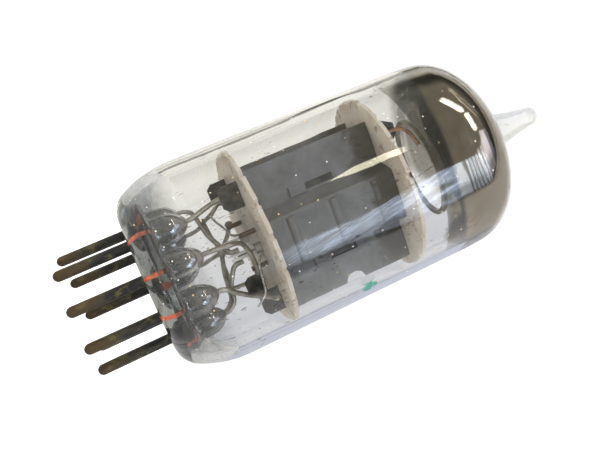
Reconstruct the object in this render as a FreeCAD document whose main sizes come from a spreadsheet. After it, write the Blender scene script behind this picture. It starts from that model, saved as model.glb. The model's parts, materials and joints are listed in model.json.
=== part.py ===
"""Nine-pin miniature double triode: a glass valve with two electrode systems held between two micas.

Units are millimetres. The origin is on the tube's axis at the underside of the glass stem, where the pins
leave it. +Z runs up the axis to the exhaust tip. The anode flanges lie along X, and the two triodes stand
one behind the other along Y: "front" is the one at -Y and "rear" the one at +Y.
"""
import FreeCAD
import Part
import Sketcher

import math
import os
from types import SimpleNamespace

from FreeCAD import Matrix, Placement, Rotation, Vector

DIMENSIONS = {
    # glass envelope
    "bulb_radius": 10.3,
    "glass_wall": 0.95,
    "foot_radius": 6.7,
    "foot_arc_radius": 2.59,
    "seal_radius": 9.0,
    "seal_height": 1.4,
    "lower_curve_radius": 11.3,
    "dome_top": 39.0,
    "crown_radius": 18.0,
    "shoulder_radius": 4.3,
    "tip_bore": 0.5,
    "tip_base_radius": 2.9,
    "tip_neck_radius": 1.04,
    "tip_end_radius": 1.06,
    "tip_top": 47.12,
    "tip_cavity_height": 41.6,
    # stem, pins and seals
    "stem_height": 2.4,
    "stem_top_radius": 7.7,
    "pin_circle_radius": 5.945,
    "pin_pitch_angle": 36.0,
    "first_pin_angle": 216.0,
    "pin_count": 9,
    "pin_radius": 0.508,
    "pin_length": 7.0,
    "pin_depth": 0.8,
    "pin_neck_radius": 0.35,
    "seal_wire_radius": 0.19,
    "seal_wire_top": 1.9,
    "mound_radius": 1.45,
    "mound_top": 5.7,
    "mound_curve_radius": 4.6,
    # micas
    "mica_radius": 9.25,
    "mica_thickness": 0.2,
    "mica_teeth": 18,
    "tooth_depth": 0.6,
    "tooth_gap": 0.5,
    "tooth_gap_root": 0.12,
    "lower_mica_top": 11.75,
    "upper_mica_base": 25.5,
    "hole_clearance": 0.05,
    # electrodes
    "cage_shift": 0.35,
    "system_offset": 3.0,
    "sheet": 0.2,
    "flange_half_width": 7.25,
    "box_front_half_width": 2.5,
    "box_base_half_width": 3.2,
    "outer_depth": 2.8,
    "inner_depth": 2.45,
    "outer_bend": 0.35,
    "inner_bend": 0.15,
    "rib_height": 0.3,
    "rib_width": 1.0,
    "rib_half_length": 2.2,
    "rib_first_height": 14.4,
    "rib_spacing": 4.5,
    "rib_count": 3,
    "crimp_x": 3.75,
    "slot_half_width": 0.35,
    "slot_base": 17.5,
    "slot_top": 20.4,
    "tongue_half_width": 0.48,
    "tongue_base": 15.8,
    "tongue_rise": 0.18,
    "notch_x": 7.35,
    "notch_height": 19.2,
    "notch_radius": 1.0,
    "tab_x": 5.5,
    "tab_half_width": 1.25,
    "tab_chamfer": 0.5,
    "tab_bottom": 9.3,
    "tab_stub": 0.45,
    "cathode_radius": 0.55,
    "cathode_wall": 0.08,
    "cathode_base": 10.6,
    "cathode_top": 26.4,
    "coating_thickness": 0.07,
    "coating_base": 12.8,
    "coating_top": 24.4,
    "rod_radius": 0.25,
    "rod_x": 1.75,
    "rod_base": 9.7,
    "rod_top": 26.7,
    "grid_wire_radius": 0.05,
    "grid_clearance": 0.01,
    "grid_half_depth": 1.0,
    "grid_pitch": 0.6,
    "grid_base": 12.8,
    "grid_height": 11.4,
    "heater_radius": 0.15,
    "heater_half_gap": 0.22,
    "heater_base": 8.2,
    "heater_top": 26.2,
    # getter
    "getter_radius": 5.25,
    "getter_width": 0.5,
    "getter_height": 0.45,
    "getter_wall": 0.1,
    "getter_centre_height": 31.3,
    "getter_roll": 8.4,
    "getter_pitch": -2.5,
    "getter_support_radius": 0.2,
    "tag_left": -6.4,
    "tag_right": -4.1,
    "tag_top": 28.5,
    "tag_chamfer": 0.6,
    "flash_base": 31.0,
    "flash_thickness": 0.05,
    # leads
    "lead_radius": 0.24,
    "strap_radius": 0.12,
    "lead_bend": 0.45,
    "lead_neck": 0.5,
    "weld_gap": 0.01,
    "rod_weld_height": 10.15,
    "rod_weld_reach": 0.3,
    "heater_weld_base": 8.2,
    "heater_weld_top": 9.2,
    "tab_weld_top": 10.6,
    "strap_weld_rise": 0.4,
}

SUB_PARTS = []


class Size:
    """A number together with the spreadsheet formula that gives it, so that each formula is written once."""

    def __init__(self, value, formula):
        self.value = float(value)
        self.formula = formula

    def join(self, sign, other, value):
        return Size(value, f"({self.formula} {sign} {words(other)})")

    def __add__(self, other):
        return self.join("+", other, self.value + number(other))

    def __sub__(self, other):
        return self.join("-", other, self.value - number(other))

    def __mul__(self, other):
        return self.join("*", other, self.value * number(other))

    def __truediv__(self, other):
        return self.join("/", other, self.value / number(other))

    def __neg__(self):
        return Size(-self.value, f"(0 - {self.formula})")

    def root(self):
        return Size(math.sqrt(self.value), f"sqrt({self.formula})")


ZERO = Size(0, "0")
FULL_TURN = Size(360, "360")


def number(value):
    return value.value if isinstance(value, Size) else float(value)


def words(value):
    return value.formula if isinstance(value, Size) else str(float(value))


def height_on_circle(centre_height, radius, x):
    """Height of the upper half of a circle that is centred on the axis, at distance x from the axis."""
    return centre_height + (radius * radius - x * x).root()


def make_sheet(doc):
    sheet = doc.addObject("Spreadsheet::Sheet", "dims")
    for row, (name, value) in enumerate(DIMENSIONS.items(), start=1):
        sheet.set(f"A{row}", name)
        sheet.set(f"B{row}", str(value))
        sheet.setAlias(f"B{row}", name)
    doc.recompute()
    return SimpleNamespace(**{name: Size(value, f"dims.{name}") for name, value in DIMENSIONS.items()})


def bind(item, **sizes):
    """Ties each named property of an object to its formula. A double underscore stands for a dot."""
    for name, size in sizes.items():
        item.setExpression(name.replace("__", "."), words(size))


def keep(item, label):
    """Names a finished sub-part and puts it on the list of those to be written."""
    item.Label = label
    SUB_PARTS.append(item)
    return item


# ---------------------------------------------------------------- sketches and features


def origin_feature(body, role):
    return next(item for item in body.Origin.OriginFeatures if item.Role == role)


def sketch_on(body, role, name, lift=None):
    sketch = body.newObject("Sketcher::SketchObject", name)
    sketch.AttachmentSupport = [(origin_feature(body, role), "")]
    sketch.MapMode = "FlatFace"
    if lift is not None:
        bind(sketch, AttachmentOffset__Base__z=lift)
    return sketch


def fix_point(sketch, geometry, end, x, y):
    """Fixes one point of a sketch at (x, y), each tied to its formula."""
    for kind, axis, size in (("DistanceX", -2, x), ("DistanceY", -1, y)):
        value = number(size)
        if abs(value) < 1e-9:
            sketch.addConstraint(Sketcher.Constraint("PointOnObject", geometry, end, axis))
            continue
        ends = (-1, 1, geometry, end) if value > 0 else (geometry, end, -1, 1)
        index = sketch.addConstraint(Sketcher.Constraint(kind, *ends, abs(value)))
        formula = words(size) if value > 0 else f"0 - {words(size)}"
        sketch.setExpression(f"Constraints[{index}]", formula)


def fix_radius(sketch, geometry, radius):
    index = sketch.addConstraint(Sketcher.Constraint("Radius", geometry, number(radius)))
    sketch.setExpression(f"Constraints[{index}]", words(radius))


def arc_between(start, end, radius, turn):
    """The short arc from start to end. It turns left if turn is 1 and right if turn is -1."""
    chord = end - start
    reach = math.sqrt(radius**2 - (chord.Length / 2) ** 2)
    normal = Vector(-chord.y, chord.x, 0).normalize() * turn
    centre = start + chord * 0.5 + normal * reach
    first, last = (start, end) if turn > 0 else (end, start)
    angles = [math.atan2(p.y - centre.y, p.x - centre.x) for p in (first, last)]
    return Part.ArcOfCircle(Part.Circle(centre, Vector(0, 0, 1), radius), *angles)


def draw_outline(sketch, *corners):
    """Draws a closed outline.

    Each corner is (x, y) at the end of a line, or (x, y, radius, turn) at the end of an arc. The first corner
    tells how the outline gets back to where it began.
    """
    places = [Vector(number(c[0]), number(c[1]), 0) for c in corners]
    drawn = []
    for before, corner in enumerate(corners[1:] + corners[:1]):
        start, end = places[before], places[(before + 1) % len(corners)]
        turn = 1
        if len(corner) == 4:
            turn = corner[3]
            shape = arc_between(start, end, number(corner[2]), turn)
        else:
            shape = Part.LineSegment(start, end)
        index = sketch.addGeometry(shape, False)
        drawn.append((index, 1 if turn > 0 else 2, 2 if turn > 0 else 1, corner))
    for at, (index, first, last, corner) in enumerate(drawn):
        following, joint, _, _ = drawn[(at + 1) % len(drawn)]
        sketch.addConstraint(Sketcher.Constraint("Coincident", index, last, following, joint))
        fix_point(sketch, index, first, *corners[at][:2])
        if len(corner) == 4:
            fix_radius(sketch, index, corner[2])


def draw_box(sketch, left, right, low, high):
    draw_outline(sketch, (left, low), (right, low), (right, high), (left, high))


def draw_circle(sketch, x, y, radius):
    circle = Part.Circle(Vector(number(x), number(y), 0), Vector(0, 0, 1), number(radius))
    index = sketch.addGeometry(circle, False)
    fix_point(sketch, index, 3, x, y)
    fix_radius(sketch, index, radius)


def draw_axis(sketch, x):
    """A vertical construction line at x, which revolved features can turn about as Axis0."""
    index = sketch.addGeometry(Part.LineSegment(Vector(number(x), 0, 0), Vector(number(x), 1, 0)), True)
    fix_point(sketch, index, 1, x, 0)
    fix_point(sketch, index, 2, x, 1)


def new_body(doc, label):
    return keep(doc.addObject("PartDesign::Body", label), label)


def checked(body, feature, adds):
    """Recomputes the document and makes sure that the feature added or removed material."""
    before = body.Shape.Volume if not body.Shape.isNull() else 0.0
    body.Tip = feature
    feature.Document.recompute()
    after = body.Shape.Volume
    if (after - before) * (1 if adds else -1) < 1e-6:
        raise RuntimeError(f"{feature.Label} changed the volume of {body.Label} from {before} to {after}")
    return feature


def revolve(body, sketch, axis="V_Axis", adds=True):
    kind = "PartDesign::Revolution" if adds else "PartDesign::Groove"
    feature = body.newObject(kind, f"{sketch.Label}_turned")
    feature.Profile = sketch
    feature.ReferenceAxis = (sketch, [axis])
    feature.Angle = 360
    return feature


def extrude(body, sketch, length, adds=True, reverse=False, midplane=False):
    kind = "PartDesign::Pad" if adds else "PartDesign::Pocket"
    feature = body.newObject(kind, f"{sketch.Label}_{'pad' if adds else 'cut'}")
    feature.Profile = sketch
    feature.Midplane = midplane
    feature.Reversed = reverse
    bind(feature, Length=length)
    return checked(body, feature, adds)


def around(body, feature, count, angle):
    """Repeats a feature of the body around its Z axis."""
    pattern = body.newObject("PartDesign::PolarPattern", f"{feature.Label}_around")
    pattern.Originals = [feature]
    pattern.Axis = (origin_feature(body, "Z_Axis"), [""])
    bind(pattern, Angle=angle, Occurrences=count)
    return pattern


def plain(doc, kind, name, **sizes):
    """A Part primitive whose properties are tied to formulas."""
    item = doc.addObject(kind, name)
    bind(item, **sizes)
    return item


def cylinder(doc, name, radius, low, high, x=0, y=0):
    return plain(
        doc,
        "Part::Cylinder",
        name,
        Radius=radius,
        Height=high - low,
        Placement__Base__x=x,
        Placement__Base__y=y,
        Placement__Base__z=low,
    )


def sleeve(doc, label, outer, wall, low, high, x, y):
    """A tube that stands along Z."""
    tube = keep(doc.addObject("Part::Cut", label), label)
    tube.Base = cylinder(doc, f"{label}_outside", outer, low, high, x, y)
    tube.Tool = cylinder(doc, f"{label}_bore", outer - wall, low, high, x, y)
    return tube


# ---------------------------------------------------------------- wires


def rounded_wire(points, bend):
    """A wire through the points whose corners are arcs, at most bend in tangent length."""
    edges = []
    start = points[0]
    for before, corner, after in zip(points, points[1:], points[2:]):
        inward = (before - corner).normalize()
        onward = (after - corner).normalize()
        reach = min(bend, (before - corner).Length * 0.45, (after - corner).Length * 0.45)
        first, last = corner + inward * reach, corner + onward * reach
        half = inward.getAngle(onward) / 2
        bisector = (inward + onward).normalize()
        middle = corner + bisector * (reach / math.cos(half) - reach * math.tan(half))
        edges.append(Part.LineSegment(start, first).toShape())
        edges.append(Part.Arc(first, middle, last).toShape())
        start = last
    edges.append(Part.LineSegment(start, points[-1]).toShape())
    return Part.Wire(edges)


def wire_piece(doc, label, radius, bend, *places):
    """A round wire that runs through the places."""
    points = [Vector(*place) for place in places]
    spine = rounded_wire(points, number(bend))
    section = Part.Wire(Part.Circle(points[0], points[1] - points[0], number(radius)).toShape())
    item = keep(doc.addObject("Part::Feature", label), label)
    item.Shape = spine.makePipeShell([section], True, False)
    item.Placement = Placement()
    return item


# ---------------------------------------------------------------- envelope


def dome_curve(d, depth):
    """The dome's arcs, depth inside the glass: the shoulder's foot, the join and the crown's edge."""
    crown_centre = d.dome_top - d.crown_radius
    centre_x = d.bulb_radius - d.shoulder_radius
    between = d.crown_radius - d.shoulder_radius
    rise = (between * between - centre_x * centre_x).root()
    crown = d.crown_radius - depth
    share = crown / between
    return SimpleNamespace(
        wall=d.bulb_radius - depth,
        foot=crown_centre + rise,
        join_x=centre_x * share,
        join_z=crown_centre + rise * share,
        shoulder=d.shoulder_radius - depth,
        crown=crown,
        bore_z=height_on_circle(crown_centre, crown, d.tip_bore),
        base_z=height_on_circle(crown_centre, crown, d.tip_base_radius),
    )


def make_bulb(doc, d):
    body = new_body(doc, "bulb")
    sketch = sketch_on(body, "XZ_Plane", "bulb_outline")
    outside, inside = dome_curve(d, ZERO), dome_curve(d, d.glass_wall)
    curve = d.lower_curve_radius
    centre_x = d.bulb_radius - curve
    reach = d.seal_radius - centre_x
    curve_top = d.seal_height + (curve * curve - reach * reach).root()
    inner_curve = curve - d.glass_wall
    drop = curve_top - d.seal_height
    seal_inside = centre_x + (inner_curve * inner_curve - drop * drop).root()
    draw_outline(
        sketch,
        (seal_inside, d.seal_height, inner_curve, -1),
        (d.seal_radius, d.seal_height),
        (d.bulb_radius, curve_top, curve, 1),
        (d.bulb_radius, outside.foot),
        (outside.join_x, outside.join_z, outside.shoulder, 1),
        (d.tip_bore, outside.bore_z, outside.crown, 1),
        (d.tip_bore, inside.bore_z),
        (inside.join_x, inside.join_z, inside.crown, -1),
        (inside.wall, inside.foot, inside.shoulder, -1),
        (inside.wall, curve_top),
    )
    checked(body, revolve(body, sketch), True)


def make_exhaust_tip(doc, d):
    body = new_body(doc, "exhaust_tip")
    sketch = sketch_on(body, "XZ_Plane", "tip_outline")
    outside = dome_curve(d, ZERO)
    ball_centre = d.tip_top - d.tip_end_radius
    neck_z = height_on_circle(ball_centre, d.tip_end_radius, d.tip_neck_radius)
    draw_outline(
        sketch,
        (d.tip_bore, outside.bore_z),
        (d.tip_base_radius, outside.base_z, outside.crown, -1),
        (d.tip_neck_radius, neck_z),
        (ZERO, d.tip_top, d.tip_end_radius, 1),
        (ZERO, d.tip_cavity_height),
    )
    checked(body, revolve(body, sketch), True)


def make_getter_flash(doc, d):
    body = new_body(doc, "getter_flash")
    sketch = sketch_on(body, "XZ_Plane", "flash_outline")
    outside = dome_curve(d, d.glass_wall)
    inside = dome_curve(d, d.glass_wall + d.flash_thickness)
    draw_outline(
        sketch,
        (inside.wall, d.flash_base),
        (outside.wall, d.flash_base),
        (outside.wall, outside.foot),
        (outside.join_x, outside.join_z, outside.shoulder, 1),
        (d.tip_bore, outside.bore_z, outside.crown, 1),
        (d.tip_bore, inside.bore_z),
        (inside.join_x, inside.join_z, inside.crown, -1),
        (inside.wall, inside.foot, inside.shoulder, -1),
    )
    checked(body, revolve(body, sketch), True)


# ---------------------------------------------------------------- stem and pins


def make_stem(doc, d):
    """The pressed glass button, with a mound around each lead and a stepped hole through each mound."""
    body = new_body(doc, "stem_button")
    bind(body, Placement__Rotation__Angle=d.first_pin_angle)
    button = sketch_on(body, "XZ_Plane", "button_outline")
    draw_outline(
        button,
        (ZERO, ZERO),
        (d.foot_radius, ZERO),
        (d.seal_radius, d.seal_height, d.foot_arc_radius, 1),
        (d.stem_top_radius, d.seal_height),
        (d.stem_top_radius, d.stem_height),
        (ZERO, d.stem_height),
    )
    checked(body, revolve(body, button), True)
    centre = d.pin_circle_radius
    mound = sketch_on(body, "XZ_Plane", "mound_outline")
    draw_axis(mound, centre)
    root = d.stem_height - d.pin_depth
    draw_outline(
        mound,
        (centre, root),
        (centre + d.mound_radius, root),
        (centre + d.mound_radius, d.stem_height),
        (centre + d.lead_radius, d.mound_top, d.mound_curve_radius, 1),
        (centre, d.mound_top),
    )
    span = d.pin_pitch_angle * (d.pin_count - 1)
    one_mound = checked(body, revolve(body, mound, "Axis0"), True)
    checked(body, around(body, one_mound, d.pin_count, span), True)
    hole = sketch_on(body, "XZ_Plane", "hole_outline")
    draw_axis(hole, centre)
    clear = d.mound_top + d.pin_depth
    draw_outline(
        hole,
        (centre, -d.pin_depth),
        (centre + d.pin_neck_radius, -d.pin_depth),
        (centre + d.pin_neck_radius, d.pin_depth),
        (centre + d.seal_wire_radius, d.pin_depth),
        (centre + d.seal_wire_radius, d.seal_wire_top),
        (centre + d.lead_radius, d.seal_wire_top),
        (centre + d.lead_radius, clear),
        (centre, clear),
    )
    one_hole = checked(body, revolve(body, hole, "Axis0", adds=False), False)
    checked(body, around(body, one_hole, d.pin_count, span), False)


def pin_place(d, at):
    """Formulas for the place of a pin, counted from 0."""
    angle = d.first_pin_angle + d.pin_pitch_angle * at
    radians = math.radians(angle.value)
    across = Size(math.cos(radians), f"cos({angle.formula})") * d.pin_circle_radius
    along = Size(math.sin(radians), f"sin({angle.formula})") * d.pin_circle_radius
    return across, along


def make_pins(doc, d):
    seals = []
    for at in range(int(d.pin_count.value)):
        x, y = pin_place(d, at)
        body = new_body(doc, f"pin_{at + 1}")
        bind(body, Placement__Base__x=x, Placement__Base__y=y)
        sketch = sketch_on(body, "XZ_Plane", f"pin_{at + 1}_outline")
        draw_outline(
            sketch,
            (ZERO, -d.pin_length),
            (d.pin_radius, d.pin_radius - d.pin_length, d.pin_radius, 1),
            (d.pin_radius, ZERO),
            (d.pin_neck_radius, ZERO),
            (d.pin_neck_radius, d.pin_depth),
            (ZERO, d.pin_depth),
        )
        checked(body, revolve(body, sketch), True)
        seals.append(
            cylinder(doc, f"seal_wire_{at + 1}", d.seal_wire_radius, d.pin_depth, d.seal_wire_top, x, y)
        )
    keep(doc.addObject("Part::Compound", "seal_wires"), "seal_wires").Links = seals


# ---------------------------------------------------------------- micas


def make_mica(doc, d, label, low):
    """A round mica sheet with a toothed edge, slots for the anode tabs and holes for rods and cathodes."""
    body = new_body(doc, label)
    bind(body, Placement__Base__z=low)
    disc = sketch_on(body, "XY_Plane", f"{label}_disc")
    draw_circle(disc, ZERO, ZERO, d.mica_radius)
    extrude(body, disc, d.mica_thickness)
    gap = sketch_on(body, "XY_Plane", f"{label}_gap")
    root = d.mica_radius - d.tooth_depth
    draw_outline(
        gap,
        (root, -d.tooth_gap_root),
        (d.mica_radius + d.tooth_gap, -d.tooth_gap),
        (d.mica_radius + d.tooth_gap, d.tooth_gap),
        (root, d.tooth_gap_root),
    )
    one_gap = extrude(body, gap, d.mica_thickness, adds=False, reverse=True)
    checked(body, around(body, one_gap, d.mica_teeth, FULL_TURN), False)
    holes = sketch_on(body, "XY_Plane", f"{label}_holes")
    room = d.hole_clearance
    for way in (1, -1):
        centre_y = d.system_offset * way
        draw_circle(holes, d.cage_shift, centre_y, d.cathode_radius + room)
        near = (d.system_offset - room) * way
        far = (d.system_offset + d.sheet + room) * way
        for side in (1, -1):
            draw_circle(holes, d.cage_shift + d.rod_x * side, centre_y, d.rod_radius + room)
            middle = d.cage_shift + d.tab_x * side
            half = d.tab_half_width + room
            draw_box(holes, middle - half, middle + half, near, far)
    extrude(body, holes, d.mica_thickness, adds=False, reverse=True)


def make_micas(doc, d):
    make_mica(doc, d, "lower_mica_under_sheet", d.lower_mica_top - d.mica_thickness * 2)
    make_mica(doc, d, "lower_mica_top_sheet", d.lower_mica_top - d.mica_thickness)
    make_mica(doc, d, "upper_mica_under_sheet", d.upper_mica_base)
    make_mica(doc, d, "upper_mica_top_sheet", d.upper_mica_base + d.mica_thickness)


# ---------------------------------------------------------------- anodes


def bend_edges(shape, places):
    """Names of the vertical edges that stand at the given places."""
    names = []
    for index, edge in enumerate(shape.Edges, start=1):
        ends = [vertex.Point for vertex in edge.Vertexes]
        if len(ends) != 2 or math.hypot(ends[0].x - ends[1].x, ends[0].y - ends[1].y) > 1e-6:
            continue
        if any(math.hypot(ends[0].x - x, ends[0].y - y) < 1e-3 for x, y in places):
            names.append(f"Edge{index}")
    return names


def round_bends(body, base, places, radius):
    feature = body.newObject("PartDesign::Fillet", f"{base.Label}_bends")
    feature.Base = (base, bend_edges(base.Shape, places))
    bind(feature, Radius=radius)
    body.Tip = feature
    body.Document.recompute()
    return feature


def make_anode_half(doc, d, label, outward, turn, notch_side):
    """One pressed half of an anode: a hat-shaped channel with a flange at each side.

    It is drawn for the rear triode, and turned half a revolution about Z for the front one. outward is 1
    for the half that faces the glass and -1 for the half that faces the other triode.
    """
    body = new_body(doc, label)
    bind(body, Placement__Base__x=d.cage_shift)
    body.Placement.Rotation = Rotation(Vector(0, 0, 1), turn)
    depth = d.outer_depth if outward > 0 else d.inner_depth
    flange = d.system_offset
    skin = flange + d.sheet * outward
    front = flange + depth * outward
    lean = (d.box_base_half_width - d.box_front_half_width) / (depth - d.sheet)
    inset = d.sheet * (lean * lean + 1).root() - d.sheet * lean
    base, tip = d.box_base_half_width, d.box_front_half_width
    inner_base, inner_tip = base - inset, tip - inset
    inner_front = front - d.sheet * outward
    wing = d.flange_half_width
    profile = sketch_on(body, "XY_Plane", f"{label}_profile", d.lower_mica_top)
    draw_outline(
        profile,
        (wing, flange),
        (wing, skin),
        (base, skin),
        (tip, front),
        (-tip, front),
        (-base, skin),
        (-wing, skin),
        (-wing, flange),
        (-inner_base, flange),
        (-inner_tip, inner_front),
        (inner_tip, inner_front),
        (inner_base, flange),
    )
    shell = extrude(body, profile, d.upper_mica_base - d.lower_mica_top)
    wide = [(s * x.value, y.value) for s in (1, -1) for x, y in ((tip, front), (inner_base, flange))]
    tight = [(s * x.value, y.value) for s in (1, -1) for x, y in ((inner_tip, inner_front), (base, skin))]
    bent = round_bends(body, shell, wide, d.outer_bend)
    round_bends(body, bent, tight, d.inner_bend)
    cuts = sketch_on(body, "XZ_Plane", f"{label}_openings")
    for side in (1, -1):
        slot = d.crimp_x * side
        draw_box(cuts, slot - d.slot_half_width, slot + d.slot_half_width, d.slot_base, d.slot_top)
    draw_circle(cuts, d.notch_x * notch_side, d.notch_height, d.notch_radius)
    extrude(body, cuts, d.bulb_radius * 2, adds=False, midplane=True)
    if outward > 0:
        add_anode_tabs(body, d, label)
        add_anode_ribs(body, d, label, front)


def add_anode_tabs(body, d, label):
    """Tabs that go through the micas, and the folded tongues that crimp the two halves together."""
    tabs = sketch_on(body, "XZ_Plane", f"{label}_tabs", -d.system_offset)
    tongues = sketch_on(body, "XZ_Plane", f"{label}_tongues", -d.system_offset)
    root_low = d.lower_mica_top + d.sheet
    root_high = d.upper_mica_base - d.sheet
    stub_top = d.upper_mica_base + d.mica_thickness * 2 + d.tab_stub
    for side in (1, -1):
        left, right = d.tab_x * side - d.tab_half_width, d.tab_x * side + d.tab_half_width
        draw_outline(
            tabs,
            (left, root_low),
            (left, d.tab_bottom + d.tab_chamfer),
            (left + d.tab_chamfer, d.tab_bottom),
            (right - d.tab_chamfer, d.tab_bottom),
            (right, d.tab_bottom + d.tab_chamfer),
            (right, root_low),
        )
        draw_box(tabs, left, right, root_high, stub_top)
        middle = d.crimp_x * side
        draw_box(
            tongues,
            middle - d.tongue_half_width,
            middle + d.tongue_half_width,
            d.tongue_base,
            d.slot_base,
        )
    extrude(body, tabs, d.sheet, reverse=True)
    extrude(body, tongues, d.sheet + d.tongue_rise, reverse=True)


def add_anode_ribs(body, d, label, front):
    """Three stiffening ribs pressed outward across the front of the box."""
    rib = sketch_on(body, "YZ_Plane", f"{label}_rib")
    root = front - d.sheet * 0.5
    half = d.rib_width * 0.5
    rise = d.rib_height + d.sheet * 0.5
    radius = (half * half + rise * rise) / (rise * 2)
    draw_outline(
        rib,
        (root, d.rib_first_height - half),
        (root, d.rib_first_height + half, radius, 1),
    )
    one_rib = extrude(body, rib, d.rib_half_length * 2, midplane=True)
    ribs = body.newObject("PartDesign::LinearPattern", f"{label}_ribs")
    ribs.Originals = [one_rib]
    ribs.Direction = (origin_feature(body, "Z_Axis"), [""])
    bind(ribs, Length=d.rib_spacing * (d.rib_count - 1), Occurrences=d.rib_count)
    checked(body, ribs, True)


# ---------------------------------------------------------------- grids, cathodes and heaters


def make_grid_winding(doc, d, label, y):
    """The grid's helix, flattened to an oval that just clears the side rods."""
    wire = d.grid_wire_radius.value
    half_width = (d.rod_x + d.rod_radius + d.grid_clearance).value + wire
    half_depth = d.grid_half_depth.value
    pitch = d.grid_pitch.value
    squeeze = Matrix()
    squeeze.A11 = half_width
    squeeze.A22 = half_depth
    helix = Part.makeHelix(pitch, d.grid_height.value, 1.0).transformGeometry(squeeze)
    along = Vector(0, half_depth, pitch / (2 * math.pi))
    section = Part.Wire(Part.Circle(Vector(half_width, 0, 0), along, wire).toShape())
    item = keep(doc.addObject("Part::Feature", label), label)
    item.Shape = Part.Wire(helix.Edges).makePipeShell([section], True, True)
    item.Placement = Placement(Vector(d.cage_shift.value, y.value, d.grid_base.value), Rotation())


def make_system(doc, d, name, way):
    """The grid, cathode and heater of one triode. way is -1 for the front one and 1 for the rear one."""
    x, y = d.cage_shift, d.system_offset * way
    make_grid_winding(doc, d, f"grid_{name}_winding", y)
    rods = [
        cylinder(doc, f"grid_{name}_rod_{at}", d.rod_radius, d.rod_base, d.rod_top, x + d.rod_x * side, y)
        for at, side in enumerate((1, -1))
    ]
    keep(doc.addObject("Part::Compound", f"grid_{name}_rods"), f"grid_{name}_rods").Links = rods
    sleeve(
        doc, f"cathode_{name}_sleeve", d.cathode_radius, d.cathode_wall, d.cathode_base, d.cathode_top, x, y
    )
    coated = d.cathode_radius + d.coating_thickness
    sleeve(doc, f"cathode_{name}_coating", coated, d.coating_thickness, d.coating_base, d.coating_top, x, y)
    left, right = (x - d.heater_half_gap).value, (x + d.heater_half_gap).value
    low, high = d.heater_base.value, d.heater_top.value
    wire_piece(
        doc,
        f"heater_{name}",
        d.heater_radius,
        d.heater_half_gap,
        (left, y.value, low),
        (left, y.value, high),
        (right, y.value, high),
        (right, y.value, low),
    )


# ---------------------------------------------------------------- leads


def lead_routes(d):
    """The bends and ends of the nine inner leads, in pin order, above the tops of their mounds."""
    gap, flange = d.weld_gap.value, d.system_offset.value
    inner_face = flange - d.lead_radius.value
    outer_face = flange + (d.sheet + d.lead_radius).value
    rod_side = (d.rod_x + d.rod_weld_reach).value
    rod_face = (d.system_offset + d.rod_radius + d.lead_radius).value + gap
    leg_side = (d.heater_half_gap + d.heater_radius + d.lead_radius).value + gap
    rod_weld, tab_weld = d.rod_weld_height.value, d.tab_weld_top.value
    heater_low, heater_high = d.heater_weld_base.value, d.heater_weld_top.value
    left, right = d.cage_shift.value - leg_side, d.cage_shift.value + leg_side
    grid_front = (d.cage_shift.value + rod_side, -rod_face, rod_weld)
    grid_rear = (d.cage_shift.value - rod_side, rod_face, rod_weld)
    return [
        [(-5.1, -3.1, 7.4), (-5.4, -inner_face, 9.0), (-5.4, -inner_face, tab_weld)],
        [(-1.5, -5.2, 8.8), (-1.1, -4.6, 9.5), (0.2, -3.8, 10.0), grid_front],
        [
            (2.7, -5.2, 7.0),
            (3.85, -4.6, 8.4),
            (4.9, -3.9, 9.9),
            (5.55, -outer_face, tab_weld),
            (5.6, -outer_face, tab_weld + d.lead_neck.value),
        ],
        [(4.2, -3.4, 6.9), (2.6, -3.1, 7.2), (right, -flange, heater_low), (right, -flange, heater_high)],
        [(5.3, 0.8, 7.2), (2.6, 2.4, 7.7), (right, flange, heater_low), (right, flange, heater_high)],
        [(5.2, outer_face, 8.4), (5.3, outer_face, tab_weld)],
        [(1.3, 5.0, 8.4), (-0.6, 4.0, 9.8), grid_rear],
        [
            (-2.1, 4.9, 7.1),
            (-2.9, 3.6, 7.9),
            (-3.5, 2.6, 8.8),
            (-4.3, inner_face - 2 * gap, 9.8),
            (-4.4, inner_face, tab_weld),
        ],
        [(-4.4, 2.9, 7.0), (-2.0, -0.4, 7.3), (left, -flange, heater_low), (left, -flange, heater_high)],
    ]


def make_leads(doc, d):
    """The inner leads, each of which rises from its mound and is welded to an electrode."""
    for at, route in enumerate(lead_routes(d)):
        x, y = (size.value for size in pin_place(d, at))
        foot = (x, y, d.seal_wire_top.value)
        neck = (x, y, (d.mound_top + d.lead_neck).value)
        wire_piece(doc, f"lead_{at + 1}", d.lead_radius, d.lead_bend, foot, neck, *route)


def make_straps(doc, d):
    """Thin straps from each cathode to its lead, and the wire that joins the two heaters."""
    touch = (d.cathode_radius + d.strap_radius + d.weld_gap).value
    side = touch * math.cos(math.radians(45))
    middle, flange = d.cage_shift.value, d.system_offset.value
    weld = (d.cathode_base + d.strap_weld_rise).value
    wire_piece(
        doc,
        "cathode_rear_strap",
        d.strap_radius,
        d.lead_bend,
        (-3.4, 2.4, 8.55),
        (-2.8, 1.9, 8.7),
        (-1.6, 1.5, 9.4),
        (-0.8, 1.5, 9.6),
        (middle - side, flange - side, weld),
    )
    wire_piece(
        doc,
        "cathode_front_strap",
        d.strap_radius,
        d.lead_bend,
        (middle + side, -flange - side, weld),
        (1.5, -4.2, 10.3),
        (4.3, -4.55, 9.9),
        (5.25, -4.55, 8.7),
    )
    wire_piece(
        doc,
        "heater_link",
        d.strap_radius,
        d.lead_bend,
        (-3.6, 1.35, 7.55),
        (-1.2, 0.6, 7.72),
        (3.9, 1.2, 7.85),
    )


# ---------------------------------------------------------------- getter


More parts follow.
